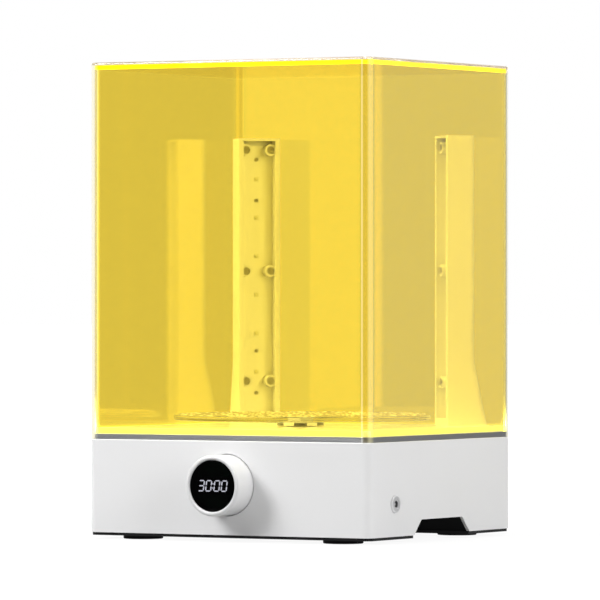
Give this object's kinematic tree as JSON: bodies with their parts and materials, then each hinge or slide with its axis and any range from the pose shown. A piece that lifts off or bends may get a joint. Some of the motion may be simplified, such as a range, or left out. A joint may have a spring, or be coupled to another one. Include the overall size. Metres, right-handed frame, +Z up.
{
  "type": "dental lab light curing unit",
  "caption": "Bench-top light curing unit: tall amber-lined clear lift-off hood over a turntable and corner lamp posts, on a white base with a round timer knob and grip recesses.",
  "frame": {"origin": "centre of the base's footprint, on the bench that the feet stand on", "axes": "+Z up, -Y towards the front panel with the timer knob, +X to the right as seen from the front"},
  "size_m": [0.2697, 0.2684, 0.3947],
  "materials": {
    "housing_white": "satin white moulding",
    "knob_white": "satin white",
    "plate_black": "matt black paint",
    "grip_black": "black",
    "foot_rubber": "matt black",
    "screw_steel": "zinc plated",
    "rim_metal": "satin",
    "floor_white": "glossy white, reflective",
    "post_white": "satin white",
    "lamp_board_white": "white solder mask",
    "lamp_lens": "lamp packages",
    "hood_clear": "clear acrylic",
    "hood_amber": "amber acrylic that stops ultraviolet",
    "magnet_nickel": "nickel plated",
    "disc_clear": "clear acrylic",
    "hub_metal": "satin",
    "shaft_steel": "ground",
    "bush_brass": "turned",
    "motor_steel": "plated",
    "display_black": "smoked, glossy",
    "display_lit": "lit digits",
    "display_dark": "unlit",
    "board_green": "circuit board",
    "component_black": "moulded",
    "inner_black": "moulded",
    "clip_steel": "spring steel",
    "standoff_brass": "turned",
    "jack_metal": "nickel plated",
    "lead_black": "insulated wire"
  },
  "bodies": {
    "base": {"base_housing": "housing_white", "board_components": "component_black", "board_standoffs": "standoff_brass", "bottom_plate": "plate_black", "chamber_floor": "floor_white", "control_board": "board_green", "control_board_screws": "screw_steel", "deck_rim": "rim_metal", "encoder_reader": "component_black", "foot_front_left": "foot_rubber", "foot_front_right": "foot_rubber", "foot_rear_left": "foot_rubber", "foot_rear_right": "foot_rubber", "foot_screws": "screw_steel", "gearbox": "motor_steel", "gearbox_screws": "screw_steel", "grip_well_left": "grip_black", "grip_well_right": "grip_black", "hood_sensor": "component_black", "jack_body": "jack_metal", "jack_nut": "jack_metal", "knob_guide": "inner_black", "knob_guide_screws": "screw_steel", "lamp_board_left": "lamp_board_white", "lamp_board_right": "lamp_board_white", "lamp_board_screws_left": "screw_steel", "lamp_board_screws_right": "screw_steel", "lamps_left": "lamp_lens", "lamps_right": "lamp_lens", "leads": "lead_black", "motor_bracket": "motor_steel", "motor_bracket_screws": "screw_steel", "motor_can": "motor_steel", "plate_screws": "screw_steel", "post_case_screws_left": "screw_steel", "post_case_screws_right": "screw_steel", "post_housing_left": "post_white", "post_housing_right": "post_white", "post_mount_screws": "screw_steel", "push_switch": "component_black", "spindle_bush": "bush_brass", "switch_board": "board_green", "switch_board_screws": "screw_steel"},
    "turntable_drive": {"drive_shaft": "shaft_steel", "turntable_hub": "hub_metal"},
    "turntable": {"turntable_disc": "disc_clear"},
    "knob_press": {"knob_carriage": "inner_black", "display_window": "display_black", "display_module": "display_dark", "display_segments_lit": "display_lit", "display_segments_unlit": "display_dark", "display_board": "board_green", "knob_clip": "clip_steel", "switch_plunger": "inner_black"},
    "knob": {"knob_ring": "knob_white", "encoder_ring": "inner_black"},
    "hood": {"hood_shell": "hood_clear", "hood_filter_walls": "hood_amber", "hood_filter_top": "hood_amber", "hood_magnet": "magnet_nickel"}
  },
  "joints": [
    {"name": "turntable_spin", "type": "hinge", "parent": "base", "child": "turntable_drive", "pos_m": [0, 0, 0.0977], "axis": [0, 0, 1], "continuous": true},
    {"name": "turntable_lift", "type": "slide", "parent": "turntable_drive", "child": "turntable", "axis": [0, 0, 1], "range_m": [0, 0.03]},
    {"name": "knob_push", "type": "slide", "parent": "base", "child": "knob_press", "axis": [0, 1, 0], "range_m": [0, 0.001], "stiffness_N_per_m": 600, "springref_m": -0.001},
    {"name": "knob_turn", "type": "hinge", "parent": "knob_press", "child": "knob", "pos_m": [0, -0.13, 0.0465], "axis": [0, 1, 0], "continuous": true},
    {"name": "hood_lift", "type": "slide", "parent": "base", "child": "hood", "axis": [0, 0, 1], "range_m": [0, 0.27]}
  ]
}
